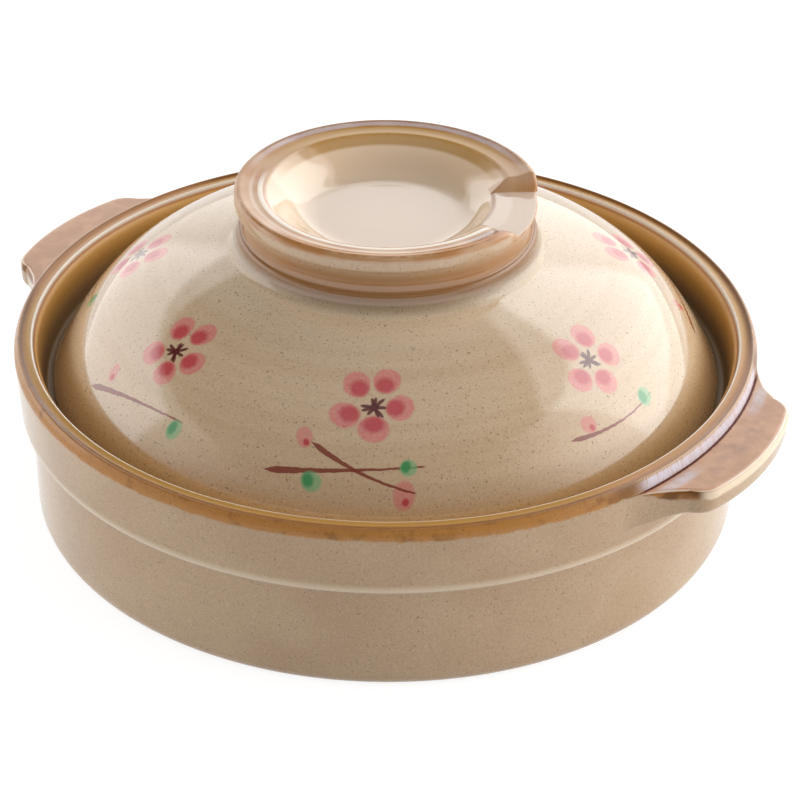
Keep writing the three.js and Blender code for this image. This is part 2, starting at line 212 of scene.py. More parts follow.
class GlazeColours(bpy.types.PropertyGroup):
    """Colours of the glazes."""

    sand: colour("Sand", "Satin glaze of the pot's wall", 186, 156, 120)
    sand_dark: colour("Dark sand", "Darker clouds in the wall's glaze", 179, 147, 110)
    speck: colour("Speck", "Iron specks in the clay", 92, 66, 44)
    lid: colour("Lid", "Clear glaze over the lid's clay", 208, 181, 148)
    lid_dark: colour("Dark lid", "Darker rings in the lid's glaze", 194, 164, 128)
    ochre: colour("Ochre", "Amber glaze on the rim", 160, 108, 54)
    golden: colour("Golden", "Amber glaze where it lies thin inside the crest", 186, 140, 72)
    amber: colour("Amber", "Amber glaze where it is thin", 178, 124, 66)
    iron: colour("Iron", "Amber glaze where it has run together", 112, 70, 26)
    # Honey is painted light: a lighter amber standing in for a highlight on the beading inside the rim,
    # and for the rim's reflection low on the lid.
    honey_painted_light: colour("Honey", "Amber glaze on the beading inside the rim", 222, 172, 102)
    orange: colour("Orange", "Fuzzy line of glaze inside the lip", 186, 116, 54)
    # Lip is a painted highlight: a near-white line on the rim's lip, along a lug's top edge and round the
    # knob's brink.
    lip: colour("Lip", "Glaze that breaks white over a sharp edge", 246, 234, 216)
    maroon: colour("Maroon", "Glaze pooled where a lug meets the rim", 84, 20, 14)
    blush: colour("Blush", "Pink tinge along the rim's top", 196, 142, 100)
    peach: colour("Peach", "Amber glaze over the lugs", 180, 126, 84)
    mauve: colour("Mauve", "Streaks in the glaze over the lugs", 132, 90, 78)
    lilac: colour("Lilac", "Milky strip beside the pooled glaze", 208, 200, 210)
    # Cream is partly the glaze's pale tone and partly painted light: a painted highlight along the step
    # and the rim's crest, and paler glaze painted round the knob against its shadow.
    cream: colour("Cream", "Glaze where it runs thin over an edge", 228, 208, 180)
    dish: colour("Dish", "Glaze in the middle of the knob's dish", 217, 193, 171)
    # Partly the glaze's tone and partly painted light: the dish's slope is painted lighter in place of a
    # reflection on it.
    dish_side_painted_light: colour("Dish side", "Glaze on the slope of the knob's dish", 232, 203, 170)
    ring: colour("Ring", "Amber glaze on the knob's ring", 178, 122, 68)
    inside: colour("Inside", "Glaze inside pot and lid", 186, 160, 130)
    # Gap is painted shade: the amber glaze darkened down into the gap between rim and lid.
    gap: colour("Gap", "Amber glaze low in the rim's gap", 146, 116, 80)


class PaintColours(bpy.types.PropertyGroup):
    """Colours of the painted blossoms."""

    petal: colour("Petal", "Thin wash of a petal", 216, 90, 104)
    crimson: colour("Crimson", "Full colour in a petal", 184, 42, 58)
    stamen: colour("Stamen", "Strokes in the middle of a blossom", 84, 6, 4)
    twig: colour("Twig", "Brown of the twigs", 128, 52, 38)
    leaf: colour("Leaf", "Thin wash of a leaf", 112, 176, 124)
    leaf_deep: colour("Deep leaf", "Full colour in a leaf", 44, 138, 78)


class StageSizes(bpy.types.PropertyGroup):
    """Camera and lamps."""

    lens: FloatProperty(name="Lens", description="Focal length in millimetres", default=110.6)
    distance: length("Distance", "From the camera to its target", 732.0 * MM)
    azimuth: angle("Azimuth", "Turn of the camera round the pot", 31.6)
    elevation: angle("Elevation", "Height of the camera over the table", 31.94)
    roll: angle("Roll", "Turn of the camera about its own axis", 0.72)
    floor_size: length("Floor size", "Width of the floor", 8.0)


class SoupPotSettings(bpy.types.PropertyGroup):
    """All sizes and colours of the soup pot."""

    pot: PointerProperty(type=PotSizes)
    lug: PointerProperty(type=LugSizes)
    lid: PointerProperty(type=LidSizes)
    knob: PointerProperty(type=KnobSizes)
    glaze: PointerProperty(type=GlazeColours)
    paint: PointerProperty(type=PaintColours)
    stage: PointerProperty(type=StageSizes)


def settings():
    """The add-on's property groups in the scene."""
    return bpy.context.scene.soup_pot


def lerp(start, end, share):
    """The value at a share of the way from start to end."""
    return start + (end - start) * share


def smooth(share):
    """A share from 0 to 1 with level ends."""
    held = min(1.0, max(0.0, share))
    return held * held * (3 - 2 * held)


def blend(start, end, share):
    """The point at a share of the way from start to end."""
    return tuple(lerp(a, b, share) for a, b in zip(start, end))


def curve(steps, *pulls):
    """Points on the curve from the first pull to the last, its start left out."""
    points = []
    for step in range(1, steps + 1):
        left = pulls
        while len(left) > 1:
            left = [blend(start, end, step / steps) for start, end in zip(left, left[1:])]
        points.append(left[0])
    return points


def towards(start, end, distance):
    """The point at a distance from start on the way to end."""
    return blend(start, end, distance / math.dist(start, end))


def rounded(corners):
    """A path through corners of radius, height and rounding, with curves at the rounded ones."""
    path = []
    for index, (radius, height, *rounding) in enumerate(corners):
        here = (radius, height)
        if not rounding:
            path.append(here)
            continue
        before = corners[index - 1][:2]
        after = corners[index + 1][:2]
        shorter = min(math.dist(here, before), math.dist(here, after))
        taken = min(rounding[0], MOST_ROUNDED * shorter)
        start = towards(here, before, taken)
        path.append(start)
        path.extend(curve(CURVE_STEPS, start, here, towards(here, after, taken)))
    return path


def divided(path, longest=LONGEST_SIDE):
    """The path with its long sides divided."""
    points = [path[0]]
    for start, end in zip(path, path[1:]):
        parts = max(1, math.ceil(math.dist(start, end) / longest))
        points.extend(curve(parts, start, end))
    return points


def linked(made):
    """An object, put into the scene."""
    bpy.context.scene.collection.objects.link(made)
    return made


def grid_faces(rows, columns, closed_rows, closed_columns):
    """Faces between neighbouring points of a grid."""
    faces = []
    for row in range(rows if closed_rows else rows - 1):
        here = row * columns
        following = (row + 1) % rows * columns
        for column in range(columns if closed_columns else columns - 1):
            beside = (column + 1) % columns
            faces.append((here + column, following + column, following + beside, here + beside))
    return faces


def grid_object(name, rows, closed_rows, closed_columns):
    """An object over a grid of points, merged where they coincide and closed at its open ends."""
    mesh = bpy.data.meshes.new(name)
    points = [point for row in rows for point in row]
    mesh.from_pydata(points, [], grid_faces(len(rows), len(rows[0]), closed_rows, closed_columns))
    shape = bmesh.new()
    shape.from_mesh(mesh)
    bmesh.ops.remove_doubles(shape, verts=shape.verts, dist=MERGED)
    bmesh.ops.holes_fill(shape, edges=[edge for edge in shape.edges if edge.is_boundary], sides=0)
    bmesh.ops.recalc_face_normals(shape, faces=shape.faces)
    shape.to_mesh(mesh)
    shape.free()
    mesh.shade_smooth()
    return linked(bpy.data.objects.new(name, mesh))


def turned(path, turn):
    """The points of a section of radius and height, turned about the axis."""
    across = math.cos(turn)
    along = math.sin(turn)
    return [(radius * across, radius * along, height) for radius, height in path]


def revolved(name, path):
    """An object made by turning one section all round the axis."""
    rows = [turned(path, math.tau * number / SECTIONS) for number in range(SECTIONS)]
    return grid_object(name, rows, closed_rows=True, closed_columns=False)


def carried(piece, body, node, materials):
    """Gives a piece its materials, its body and its place among the CAD nodes."""
    for material in materials:
        piece.data.materials.append(material)
    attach(piece, body)
    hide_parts(node)


class Value:
    """A socket of a shader that adds Math nodes when it is calculated with."""

    def __init__(self, shader, socket):
        self.shader = shader
        self.socket = socket

    def math(self, operation, *others):
        values = dict(enumerate((self, *others)))
        return self.shader.node("ShaderNodeMath", {"operation": operation}, values)

    def __add__(self, other):
        return self.math("ADD", other)

    __radd__ = __add__

    def __sub__(self, other):
        return self.math("SUBTRACT", other)

    def __rsub__(self, other):
        return self.math("MULTIPLY_ADD", -1.0, other)

    def __mul__(self, other):
        return self.math("MULTIPLY", other)

    __rmul__ = __mul__

    def __truediv__(self, other):
        return self.math("DIVIDE", other)

    def __rtruediv__(self, other):
        return self.math("POWER", -1.0) * other

    def __neg__(self):
        return self.math("MULTIPLY", -1.0)

    def __abs__(self):
        return self.math("ABSOLUTE")

    def most(self, other):
        return self.math("MAXIMUM", other)

    def ramp(self, start, end):
        """0 below start and 1 above end, or the other way round if start is the higher one."""
        low, high, first, last = start, end, 0.0, 1.0
        if start > end:
            low, high, first, last = end, start, 1.0, 0.0
        return self.shader.node(
            "ShaderNodeMapRange",
            {"interpolation_type": "SMOOTHSTEP"},
            {"Value": self, "From Min": low, "From Max": high, "To Min": first, "To Max": last},
        )

    def band(self, middle, half, edge):
        """1 within half of the middle and 0 further out, with soft edges."""
        return abs(self - middle).ramp(half + edge, half - edge)

    def arc(self, middle, half, edge):
        """A band of turns, given in degrees."""
        return self.band(math.radians(middle), math.radians(half), math.radians(edge))

    def facing(self, turn):
        """How far a turn lies towards another one in degrees, from -1 to 1."""
        return (self - math.radians(turn)).math("COSINE")


class Shader:
    """The nodes of one material, lamp or world."""

    def __init__(self, owner):
        owner.use_nodes = True
        self.owner = owner
        self.tree = owner.node_tree
        self.tree.nodes.clear()

    def node(self, kind, options, inputs, output=0):
        """One node: its type, its settings, and the values or links of its sockets."""
        made = self.tree.nodes.new(kind)
        for option, value in options.items():
            if option == "stops":
                self.set_stops(made.color_ramp.elements, value)
            else:
                setattr(made, option, value)
        for key, value in inputs.items():
            if isinstance(value, Value):
                self.tree.links.new(value.socket, made.inputs[key])
            elif made.inputs[key].type == "RGBA":
                made.inputs[key].default_value = (*value[:3], 1.0)
            else:
                made.inputs[key].default_value = value
        return Value(self, made.outputs[output]) if made.outputs else None

    @staticmethod
    def set_stops(elements, stops):
        while len(elements) < len(stops):
            elements.new(1.0)
        for element, (position, tint) in zip(elements, stops):
            element.position = position
            element.color = (*tint, 1.0)

    def mix(self, share, first, second, how="MIX"):
        """The mix of two colours."""
        options = {"data_type": "RGBA", "blend_type": how}
        return self.node("ShaderNodeMix", options, {0: share, 6: first, 7: second}, output=2)

    def layered(self, look, *layers):
        """A colour with others over it, each with its share."""
        for share, tint in layers:
            look = self.mix(share, look, tint)
        return look

    def noise(self, point, scale, detail=2.0):
        """Cloudy noise from 0 to 1, with scale in clouds per millimetre."""
        return self.node(
            "ShaderNodeTexNoise", {}, {"Vector": point, "Scale": scale, "Detail": detail}
        )

    def vector(self, operation, *values, output=0):
        """A Vector Math node."""
        options = {"operation": operation}
        return self.node("ShaderNodeVectorMath", options, dict(enumerate(values)), output)

    def placed(self, point, place, turn, scale=(1.0, 1.0, 1.0)):
        """A point as seen from a place, turn and scale of its own on the sheet."""
        return self.node(
            "ShaderNodeMapping",
            {"vector_type": "TEXTURE"},
            {"Vector": point, "Location": (*place, 0.0), "Rotation": (0.0, 0.0, turn), "Scale": scale},
        )

    def joined(self, across, along, up=0.0):
        """A vector from its three parts."""
        return self.node("ShaderNodeCombineXYZ", {}, {0: across, 1: along, 2: up})

    def parts(self, vector):
        """The three parts of a vector."""
        return [
            self.node("ShaderNodeSeparateXYZ", {}, {0: vector}, output=axis) for axis in range(3)
        ]

    def surface(self, look):
        """Ends the tree in a Principled surface with the given inputs."""
        body = self.node("ShaderNodeBsdfPrincipled", {}, look)
        self.node("ShaderNodeOutputMaterial", {}, {"Surface": body})
        return self.owner


Place = namedtuple("Place", "point radius turn height up inset fall")

BACK_TURN = 121.6
FRONT_TURN = -80
GRAIN_DARK = (0.62, 0.55, 0.47)
GRAIN_LIGHT = (0.9, 0.84, 0.75)


def new_shader(name):
    """A shader for a new material."""
    return Shader(bpy.data.materials.new(name))


def places(shader, outer, top):
    """Where a shaded point is in millimetres and radians, and how far it faces up.

    Inset and fall are its distances in from an outer radius and down from a top.
    """
    own = shader.node("ShaderNodeTexCoord", {}, {}, output="Object")
    point = shader.vector("MULTIPLY", own, (1 / MM, 1 / MM, 1 / MM))
    across, along, height = shader.parts(point)
    radius = (across * across + along * along).math("SQRT")
    turn = along.math("ARCTAN2", across)
    facing = shader.node("ShaderNodeNewGeometry", {}, {}, output="Normal")
    up = shader.parts(facing)[2]
    return Place(point, radius, turn, height, up, outer / MM - radius, top / MM - height)


def bumped(shader, height, distance):
    """A normal raised by a height from 0 to 1."""
    return shader.node("ShaderNodeBump", {}, {"Distance": distance, "Height": height}, output="Normal")


def speckled(shader, place, base, colours, amount):
    """A glaze colour with fine grain and iron specks."""
    grain = shader.noise(place.point, 1.9, 3.0)
    grained = shader.mix(grain.ramp(0.62, 0.34) * 0.24, base, GRAIN_DARK, how="MULTIPLY")
    lifted = shader.mix(grain.ramp(0.54, 0.72) * 0.07, grained, GRAIN_LIGHT)
    fine = shader.noise(place.point, 1.5, 1.0).ramp(0.66, 0.73)
    coarse = shader.noise(place.point, 0.62, 1.0).ramp(0.765, 0.80)
    return shader.mix(fine.most(coarse) * amount, lifted, colours.speck)


def thrown(shader, place, along_radius, along_turn, detail):
    """Noise in rings round the axis, as the wheel leaves them."""
    rings = shader.joined(place.radius * along_radius, place.turn * along_turn)
    return shader.noise(rings, 1.0, detail)


def streaked(shader, place):
    """Noise in fine streaks that run out from the axis."""
    streaks = shader.joined(place.turn * 220.0, place.radius * 0.3, place.height * 0.3)
    return shader.noise(streaks, 1.0, 3.0)


def sideways(place):
    """How far a point is turned away from the line through both lugs, from 0 to 1."""
    return abs(place.turn.math("SINE"))


def on_right(place):
    """1 on the side of the right lug and 0 on the other."""
    return place.turn.math("COSINE").ramp(-0.1, 0.1)


LAY_START = 6.5
LAY_WIDTH = 7.0


def rim_lay(shader, inset, colours):
    """The colours of the amber glaze from the groove inside the rim out to the band."""
    stops = (
        (0.00, colours.orange),
        (0.10, colours.orange),
        (0.20, colours.golden),
        (0.42, colours.golden),
        (0.52, colours.ochre),
        (0.62, colours.iron),
        (0.71, colours.ochre),
        (0.80, colours.amber),
        (1.00, colours.amber),
    )
    share = (LAY_START - inset) / LAY_WIDTH
    return shader.node("ShaderNodeValToRGB", {"stops": stops}, {0: share})


def rim_glaze(shader, place, pot, colours):
    """Amber glaze on the rim, painted highlights on lip and crest, milky strips beside the lugs."""
    streak = streaked(shader, place)
    inset = place.inset - (streak - 0.5) * 0.7
    clouds = shader.noise(place.point, 0.2, 3.0).ramp(0.46, 0.3)
    grain = shader.noise(place.point, 1.6).ramp(0.6, 0.7)
    spots = clouds.most(grain) * place.inset.ramp(3.3, 1.9)
    beside = sideways(place)
    near = beside.ramp(0.5, 0.3)
    valley = inset.band(pot.valley_inset / MM, 1.5, 0.5) * near
    # Painted highlight: a cream line along the crest near the lugs.
    crest = place.inset.band(pot.crest_inset / MM, 0.22, 0.15) * near
    # Painted highlight: a near-white line along the lip.
    lip = place.inset.band(pot.lip_inset / MM, 0.36, 0.2)
    milky = inset.band(0.4, 0.55, 0.2) * beside.ramp(0.36, 0.3)
    root = beside.band(0.37, 0.045, 0.04) * place.inset.ramp(2.3, 0.9)
    return shader.layered(
        rim_lay(shader, inset, colours),
        (spots * 0.5, colours.iron),
        (valley * 0.7, colours.blush),
        (crest * 0.35, colours.cream),
        (lip * 0.95, colours.lip),
        (milky * (streak.ramp(0.3, 0.6) * 0.35 + 0.6), colours.lilac),
        (root * 0.75, colours.iron),
    )


def lug_top(shader, place, soft, colours):
    """The amber glaze on a lug's top, cloudy, and milky and dark in places on the right lug."""
    out = -place.inset
    beside = sideways(place)
    right = on_right(place)
    cloud = shader.noise(place.point, 0.12, 3.0)
    blotch = out.band(6.3, 2.6, 2.0) * beside.ramp(0.2, 0.08) * soft.ramp(0.3, 0.75) * right
    milky = beside.band(0.22, 0.06, 0.05) * out.band(3.0, 1.5, 1.0) * right
    corner = (place.turn * 2.0).math("SINE").band(0.42, 0.04, 0.03) * out.ramp(9.7, 11.3) * right
    root = beside.ramp(0.33, 0.37) * right
    return shader.layered(
        shader.mix(cloud.ramp(0.4, 0.6), colours.peach, colours.blush),
        (blotch * 0.5, colours.mauve),
        (milky * (0.4 + soft.ramp(0.3, 0.7) * 0.3), colours.lilac),
        (corner * 0.7, colours.iron),
        (root * 0.7, colours.iron),
    )


def lug_glaze(shader, place, colours, pooled):
    """The amber glaze over a lug, with a dark line where it meets the rim."""
    soft = shader.noise(place.point, 0.26, 1.0)
    face = place.inset.ramp(-9.3, -11.5)
    amber = shader.mix(soft.ramp(0.3, 0.7), colours.iron, colours.ochre)
    flank = shader.mix(face, amber, colours.cream)
    look = shader.mix(place.up.ramp(0.8, 0.5), lug_top(shader, place, soft, colours), flank)
    # Painted highlight: a near-white line along the rounded edge between a lug's top and its sides.
    look = shader.mix(place.up.band(0.82, 0.1, 0.08) * 0.7, look, colours.lip)
    return shader.mix(pooled * 0.95, look, colours.maroon)


def lug_pool(shader, place):
    """1 along the dark line where the right lug meets the rim."""
    jagged = place.inset - (streaked(shader, place) - 0.5) * 0.4
    root = jagged.band(-0.2, 0.45, 0.2) * sideways(place).ramp(0.35, 0.31)
    return root * place.up.ramp(0.3, 0.7) * on_right(place)


def rim_hollow(shader, place, colours):
    """Amber glaze with a painted highlight atop the rim's inner wall and painted shade down it; the pot's
    glaze below.
    """
    # Painted highlight: the top of the inner wall is a lighter amber, where the beading would shine.
    wall = shader.mix(place.fall.ramp(2.5, 7.5), colours.honey_painted_light, colours.golden)
    # Painted shade: darker down into the gap between rim and lid.
    deep = shader.mix(place.fall.ramp(5.5, 12.5), wall, colours.gap)
    return shader.mix(place.fall.ramp(16.5, 19.5), deep, colours.inside)


def wall_glaze(shader, place, pot, colours):
    """Satin sand-coloured glaze with specks, and a painted highlight along the step."""
    cloud = shader.noise(place.point, 0.035)
    look = shader.mix(cloud.ramp(0.35, 0.65), colours.sand_dark, colours.sand)
    look = speckled(shader, place, look, colours, 0.5)
    # Painted highlight: a cream band along the rounded edge of the step.
    step = place.fall.band(pot.band_height / MM - 1.9, 1.3, 1.2) * place.inset.ramp(3.7, 2.3)
    return shader.mix(step * 0.6, look, colours.cream)


def rim_coat(shader, place, depth, pot, colours):
    """Where the rim is amber, its glaze and its gloss."""
    ridges = ((pot.lip_inset, 0.5, 0.3, 0.7), (pot.crest_inset, 0.6, 0.4, 0.4))
    gloss = 0.3
    for inset, half, edge, share in ridges:
        gloss = gloss + place.inset.band(inset / MM, half, edge) * share
    return depth.ramp(3.9, 2.9), rim_glaze(shader, place, pot, colours), gloss


def lug_coat(shader, place, depth, colours):
    """Where a lug is amber, its glaze and its gloss."""
    lower = place.inset.ramp(-0.1, -4.6) * 2.8
    coated = (depth - lower).ramp(4.0, 2.8).most(place.up.ramp(0.5, 0.8))
    pooled = lug_pool(shader, place)
    gloss = (0.9 - pooled * 0.9) * (0.3 + place.up.ramp(0.3, 0.7) * 0.7)
    return coated, lug_glaze(shader, place, colours, pooled), gloss


def pot_material(name, given, lug):
    """Satin sand-coloured glaze with amber glaze over the rim or the lugs."""
    shader = new_shader(name)
    pot = given.pot
    colours = given.glaze
    place = places(shader, pot.rim_radius, pot.height)
    depth = place.fall - (shader.noise(place.point, 0.3, 4.0) - 0.5) * 1.6
    if lug:
        coated, glaze, gloss = lug_coat(shader, place, depth, colours)
    else:
        coated, glaze, gloss = rim_coat(shader, place, depth, pot, colours)
    inner = place.inset.ramp(5.7, 6.3)
    outside = shader.mix(coated, wall_glaze(shader, place, pot, colours), glaze)
    look = shader.mix(inner, outside, rim_hollow(shader, place, colours))
    glossy = coated.most(inner)
    deep = inner * place.fall.ramp(3.5, 7.5)
    unevenness = shader.noise(place.point, 0.5, 3.0)
    return shader.surface(
        {
            "Base Color": look,
            "Roughness": 0.5 - glossy * 0.2,
            "Specular IOR Level": 0.1,
            "Coat Weight": (1.0 - glossy * (1.0 - gloss)) * (1.0 - deep),
            "Coat Roughness": 0.07,
            "Coat IOR": 1.6,
            "Normal": bumped(shader, unevenness, 0.1 * MM),
        }
    )


PETAL = 3.7

# Millimetres across and down the dome from the middle of a blossom, and turns in degrees. A mark's
# length and width are halves.
Mark = namedtuple("Mark", "across down length width turn", defaults=(PETAL, PETAL, 0.0))
Twig = namedtuple("Twig", "start middle end thick thin")
Spray = namedtuple("Spray", "turn petals buds leaves twigs")

BLOSSOM_RADIUS = 72.9
SLOPE = 1.17
SLOPE_GROWTH = 0.0125
STAMENS = 9
STAMEN_REACH = 3.6
STAMEN_WIDTH = 0.52
POINTED = 0.02


def brush_sheet(shader, place, spray):
    """Millimetres across and down the dome from the middle of a blossom, slightly uneven."""
    unevenness = [(shader.noise(place.point, scale) - 0.5) * 0.5 for scale in (0.7, 0.63)]
    out = place.radius - BLOSSOM_RADIUS
    across = place.radius * (place.turn - math.radians(spray.turn))
    down = out * SLOPE + out * out * SLOPE_GROWTH
    return shader.joined(across + unevenness[0], down + unevenness[1])


def dabbed(shader, sheet, look, marks, soft, share, tint):
    """A colour with oval brush marks over it."""
    for mark in marks:
        size = (mark.length, mark.width, 1.0)
        own = shader.placed(sheet, (mark.across, mark.down), math.radians(mark.turn), size)
        oval = shader.vector("LENGTH", own, output="Value").ramp(1.0 + soft, 1.0 - soft)
        look = shader.mix(oval * share, look, tint)
    return look


def stroke(shader, sheet, twig):
    """1 along a curved brush stroke, pointed at its thick start and thin at its end."""
    run = math.dist(twig.start, twig.end)
    lean = math.atan2(twig.end[1] - twig.start[1], twig.end[0] - twig.start[0])
    along, beside, _ = shader.parts(shader.placed(sheet, twig.start, lean))
    middle = Vector(twig.middle) - Vector(twig.start)
    offset = middle.y * math.cos(lean) - middle.x * math.sin(lean)
    share = along / run
    rest = 1.0 - share
    bow = share * rest * (4 * offset)
    taper = rest * rest * (twig.thick - twig.thin) + twig.thin
    half = taper * share.ramp(-0.02, 0.09) + POINTED
    ends = share.ramp(-0.01, 0.005) * share.ramp(1.01, 0.97)
    return (abs(beside - bow) / half).ramp(1.15, 0.8) * ends


def petal_spot(petal):
    """The full colour on a petal's inner side."""
    kept = 1 - 0.36 * petal.length / math.hypot(petal.across, petal.down)
    return Mark(petal.across * kept, petal.down * kept, petal.length * 0.68, petal.width * 0.64)


def bud_tip(bud):
    """The full colour at a bud's tip."""
    return Mark(bud.across + 0.5, bud.down + bud.width * 0.45, 0.9, 0.9)


def leaf_heart(leaf):
    """The full colour on one side of a leaf."""
    return Mark(leaf.across - leaf.length * 0.3, leaf.down - 0.3, leaf.length * 0.55, leaf.width * 0.7)


def stamen_thread(number):
    """One of the strokes in the middle of a blossom, uneven in turn and reach."""
    turn = 360 * number / STAMENS + 14 * math.sin(number * 2.3)
    reach = STAMEN_REACH * (0.92 + 0.14 * math.sin(number * 1.7))
    lean = math.radians(turn)
    middle = 0.55 * reach
    return Mark(middle * math.cos(lean), middle * math.sin(lean), 0.45 * reach, STAMEN_WIDTH, turn)


def painted(shader, place, base, spray, colours):
    """The base colour with one painted spray of blossom over it."""
    sheet = brush_sheet(shader, place, spray)
    wash = 0.46 + shader.noise(place.point, 1.3).ramp(0.35, 0.6) * 0.2
    spots = [petal_spot(petal) for petal in spray.petals]
    tips = [bud_tip(bud) for bud in spray.buds]
    hearts = [leaf_heart(leaf) for leaf in spray.leaves]
    threads = [stamen_thread(number) for number in range(STAMENS)]
    look = dabbed(shader, sheet, base, spray.petals, 0.1, wash, colours.petal)
    look = dabbed(shader, sheet, look, spots, 0.38, 0.8, colours.crimson)
    look = dabbed(shader, sheet, look, spray.buds, 0.14, 0.5, colours.petal)
    look = dabbed(shader, sheet, look, tips, 0.35, 0.85, colours.crimson)
    for twig in spray.twigs:
        look = shader.mix(stroke(shader, sheet, twig) * 0.92, look, colours.twig)
    look = dabbed(shader, sheet, look, spray.leaves, 0.16, 0.7, colours.leaf)
    look = dabbed(shader, sheet, look, hearts, 0.4, 0.85, colours.leaf_deep)
    look = dabbed(shader, sheet, look, threads, 0.2, 0.92, colours.stamen)
    return dabbed(shader, sheet, look, [Mark(0, 0, 1.2, 1.2)], 0.3, 0.95, colours.stamen)


FRONT_SPRAY = Spray(
    turn=-60.3,
    petals=(
        Mark(-5.0, -6.5),
        Mark(3.0, -7.8, PETAL, PETAL * 0.95),
        Mark(6.9, 0.1),
        Mark(0.0, 6.4, PETAL * 1.15, PETAL),
        Mark(-7.9, 2.7, PETAL * 1.1, PETAL),
    ),
    buds=(Mark(-18.2, 10.2, 2.2, 2.9), Mark(8.6, 23.6, 2.9, 3.6)),
    leaves=(Mark(-16.0, 21.4, 2.8, 2.5), Mark(9.6, 16.8, 2.3, 2.1)),
    twigs=(
        Twig((-29.0, 20.4), (-7.1, 17.8), (14.2, 16.6), 1.05, 0.24),
        Twig((-16.2, 11.2), (-2.8, 18.3), (11.9, 23.2), 0.9, 0.28),
    ),
)

LEFT_SPRAY = Spray(
    turn=-109.9,
    petals=(
        Mark(-5.2, -6.0),
        Mark(2.6, -8.0, PETAL, PETAL * 0.95),
        Mark(-6.4, 4.2),
        Mark(2.2, 6.8),
        Mark(7.7, 0.3),
    ),
    buds=(Mark(-15.4, 16.0, 1.9, 2.6),),
    leaves=(Mark(16.6, 18.6, 2.3, 2.8),),
    twigs=(Twig((-22.0, 23.4), (0.6, 17.2), (18.2, 16.0), 0.95, 0.26),),
)

RIGHT_SPRAY = Spray(
    turn=-8.7,
    petals=(
        Mark(5.2, -6.4),
        Mark(-3.6, -5.7),
        Mark(7.6, 1.9),
        Mark(-7.2, 3.7),
        Mark(0.1, 7.6),
    ),
    buds=(Mark(-13.6, 15.6, 2.6, 2.4),),
    leaves=(Mark(9.9, 17.2, 2.8, 2.6),),
    twigs=(Twig((-21.4, 17.8), (-5.5, 18.8), (13.4, 17.4), 0.75, 0.18),),
)

SPRAYS = (
    FRONT_SPRAY,
    LEFT_SPRAY,
    RIGHT_SPRAY,
    LEFT_SPRAY._replace(turn=43.0),
    RIGHT_SPRAY._replace(turn=-156.0),
    LEFT_SPRAY._replace(turn=101.0),
    RIGHT_SPRAY._replace(turn=149.0),
)


def lid_glaze(shader, place, colours):
    """Clear glaze over speckled clay, with painted light round the knob and low on the dome."""
    rings = thrown(shader, place, 0.3, 0.6, 3.0)
    clay = shader.mix(0.62 + rings.ramp(0.36, 0.64) * 0.38, colours.lid_dark, colours.lid)
    look = shader.layered(
        clay,
        # Painted light: lighter amber low on the dome, lifting the rim's shade and standing in for its
        # reflection.
        (place.fall.ramp(27.5, 34.0) * 0.5, colours.honey_painted_light),
        # Painted light: paler glaze round the knob, lifting the knob's shadow.
        (place.inset.ramp(-22.6, -4.6) * 0.45, colours.cream),
    )
    return speckled(shader, place, look, colours, 0.6)


def glazed(shader, place, look, ripple, coat=1.0):
    """A glossy glazed surface of the given colour and gloss, raised a little by a ripple."""
    uneven = shader.noise(place.point, 0.12)
    return shader.surface(
        {
            "Base Color": look,
            "Roughness": 0.5,
            "Specular IOR Level": 0.0,
            "Coat Weight": coat,
            "Coat Roughness": 0.03,
            "Coat IOR": 2.0,
            "Normal": bumped(shader, uneven * 0.6 + ripple * 0.4, 0.25 * MM),
        }
    )


def lid_material(name, given, spray=None):
    """Clear glaze on the lid, with a painted spray if one is given."""
    shader = new_shader(name)
    place = places(shader, given.knob.foot_radius, given.lid.top)
    look = lid_glaze(shader, place, given.glaze)
    if spray:
        look = painted(shader, place, look, spray, given.paint)
    return glazed(shader, place, look, thrown(shader, place, 0.22, 0.3, 2.0))


def ring_glaze(shader, place, colours):
    """The glaze on the knob's ring: amber with painted highlight lines in front, golden with a dark line
    behind.
    """
    fine = shader.noise(place.point, 0.5, 3.0)
    inset = place.inset - (fine - 0.5) * 0.4
    pale = shader.noise(place.point, 0.1, 1.0).ramp(0.3, 0.75)
    back = place.turn.facing(BACK_TURN).ramp(0.1, 0.8)
    # Where the painted highlight lines show: the front of the ring's top.
    front = place.turn.facing(FRONT_TURN).ramp(0.0, 0.4) * place.fall.ramp(2.6, 1.9)
    ring = shader.layered(
        colours.ring,
        (pale * 0.3, colours.cream),
        (inset.ramp(3.0, 4.8) * back, colours.golden),
        (inset.band(2.8, 0.7, 0.4) * back * 0.6, colours.lilac),
        (inset.band(1.5, 0.35, 0.25) * back * 0.7, colours.maroon),
        (inset.band(0.8, 0.3, 0.25) * fine.ramp(0.45, 0.6) * 0.7, colours.ochre),
        (inset.band(4.2, 1.4, 0.8) * place.turn.arc(-13, 9, 5) * 0.8, colours.mauve),
        (inset.band(1.8, 0.6, 0.4) * place.turn.arc(-18, 14, 6) * 0.9, colours.orange),
        # Painted highlights: two white lines on the front of the ring, at the brink and on its top.
        (place.inset.band(7.4, 0.65, 0.25) * front * 0.9, colours.lip),
        (place.inset.band(4.8, 0.5, 0.4) * front * 0.35, colours.lip),
    )
    floor = place.fall.ramp(3.2, 4.0) * place.up.ramp(0.85, 0.95)
    brink = inset.band(13.2, 0.5, 0.4)
    return shader.mix(floor, ring, shader.mix(brink * 0.8, colours.dish, colours.ochre))


def on_ring(shader, place, sizes):
    """1 on the knob's ring and on the floor of its notch."""
    fine = shader.noise(place.point, 0.5, 3.0)
    raised = (place.fall - (fine - 0.5) * 0.5).ramp(2.4, 1.2) * place.inset.ramp(9.7, 8.7)
    middle = math.degrees(sizes.floor_start + sizes.floor_end) / 2
    notch = place.turn.arc(middle, 25, 2) * place.inset.ramp(14.2, 13.6)
    return raised.most(notch * place.fall.ramp(5.6, 4.9))


